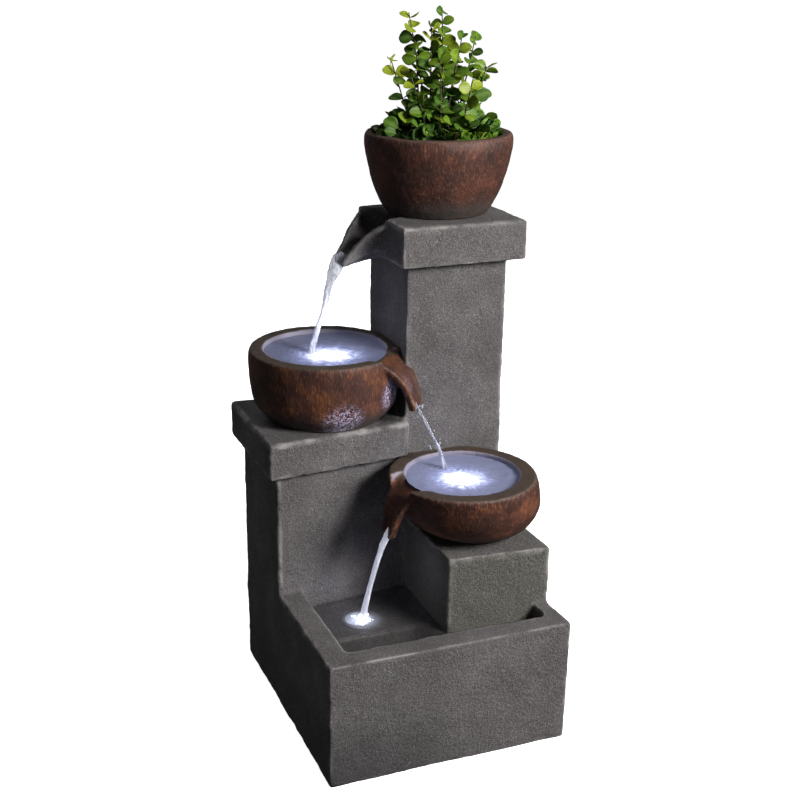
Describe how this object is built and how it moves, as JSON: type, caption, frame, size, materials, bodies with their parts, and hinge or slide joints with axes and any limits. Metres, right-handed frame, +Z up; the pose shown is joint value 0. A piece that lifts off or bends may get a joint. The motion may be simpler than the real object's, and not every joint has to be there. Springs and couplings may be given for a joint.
{
  "type": "tiered bowl water fountain",
  "caption": "Cast-stone fountain: basin, two columns, spouted bowls that spill into each other, planter bowl on top, hidden pump and lamps.",
  "frame": {"origin": "middle of the basin's flat underside", "axes": "+X to the right of the front view, +Y to the back, +Z up; front faces -Y"},
  "size_m": [0.3433, 0.3674, 0.8493],
  "materials": {
    "cast_stone": "matt cast stone, fine pitted grain, dark warm grey",
    "rust_bowl": "cast stone washed rust brown, satin, short vertical brush marks",
    "soil": "loose dark potting soil",
    "leaf": "small round satin leaves, yellow-green to dark green",
    "black_plastic": "moulded black plastic",
    "grey_plastic": "moulded grey plastic",
    "rubber": "soft black rubber",
    "clear_hose": "clear flexible hose",
    "steel": "stainless steel",
    "lens": "clear lamp lens",
    "magnet": "ferrite rotor magnet",
    "ceramic_white": "white ceramic",
    "water": "moving water lit by bluish white lamps"
  },
  "bodies": {
    "fountain": {"basin_tub": "cast_stone", "trough_shelf": "cast_stone", "left_column": "cast_stone", "middle_slab": "cast_stone", "tall_column": "cast_stone", "top_slab": "cast_stone", "top_spout": "cast_stone", "pedestal_block": "cast_stone", "middle_bowl": "rust_bowl", "lower_bowl": "rust_bowl", "planter_bowl": "rust_bowl", "potting_soil": "soil", "plant": "leaf", "middle_lamp_housing": "grey_plastic", "middle_lamp_seal": "rubber", "middle_lamp_nut": "grey_plastic", "middle_lamp_board": "ceramic_white", "middle_lamp_lens": "lens", "lower_lamp_housing": "grey_plastic", "lower_lamp_seal": "rubber", "lower_lamp_nut": "grey_plastic", "lower_lamp_board": "ceramic_white", "lower_lamp_lens": "lens", "basin_lamp_housing": "grey_plastic", "basin_lamp_seal": "rubber", "basin_lamp_nut": "grey_plastic", "basin_lamp_board": "ceramic_white", "basin_lamp_lens": "lens", "pump_body": "black_plastic", "pump_volute_cover": "black_plastic", "pump_shaft": "ceramic_white", "pump_outlet_nozzle": "black_plastic", "suction_cup_1": "rubber", "suction_cup_2": "rubber", "suction_cup_3": "rubber", "suction_cup_4": "rubber", "riser_hose": "clear_hose", "lower_hose_clamp": "steel", "upper_hose_clamp": "steel", "outlet_elbow": "black_plastic", "cord_grommet": "rubber", "junction_box": "black_plastic", "junction_lid": "black_plastic", "middle_lamp_lead": "rubber", "lower_lamp_lead": "rubber", "basin_lamp_lead": "rubber", "pump_lead": "rubber"},
    "access_panel": {"access_panel": "black_plastic", "panel_gasket": "rubber"},
    "panel_screw_left": {"panel_screw_left": "steel"},
    "panel_screw_right": {"panel_screw_right": "steel"},
    "rotor": {"pump_impeller": "grey_plastic", "pump_rotor_magnet": "magnet"},
    "flow_dial": {"pump_flow_dial": "grey_plastic"},
    "strainer": {"pump_strainer": "black_plastic"}
  },
  "joints": [
    {"name": "panel_lift_off", "type": "slide", "parent": "fountain", "child": "access_panel", "axis": [0, 1, 0], "range_m": [0, 0.12]},
    {"name": "left_screw_turn", "type": "hinge", "parent": "access_panel", "child": "panel_screw_left", "pos_m": [-0.1185, 0.165, 0.234], "axis": [0, 1, 0], "continuous": true},
    {"name": "right_screw_turn", "type": "hinge", "parent": "access_panel", "child": "panel_screw_right", "pos_m": [-0.0145, 0.165, 0.234], "axis": [0, 1, 0], "continuous": true},
    {"name": "rotor_spin", "type": "hinge", "parent": "fountain", "child": "rotor", "pos_m": [-0.0475, 0.09, 0.0495], "axis": [0, 1, 0], "continuous": true},
    {"name": "flow_dial_turn", "type": "hinge", "parent": "fountain", "child": "flow_dial", "pos_m": [-0.0698, 0.0822, 0.0635], "axis": [1, 0, 0], "range_deg": [0, 90]},
    {"name": "strainer_pull", "type": "slide", "parent": "fountain", "child": "strainer", "axis": [0, -1, 0], "range_m": [0, 0.01]}
  ]
}
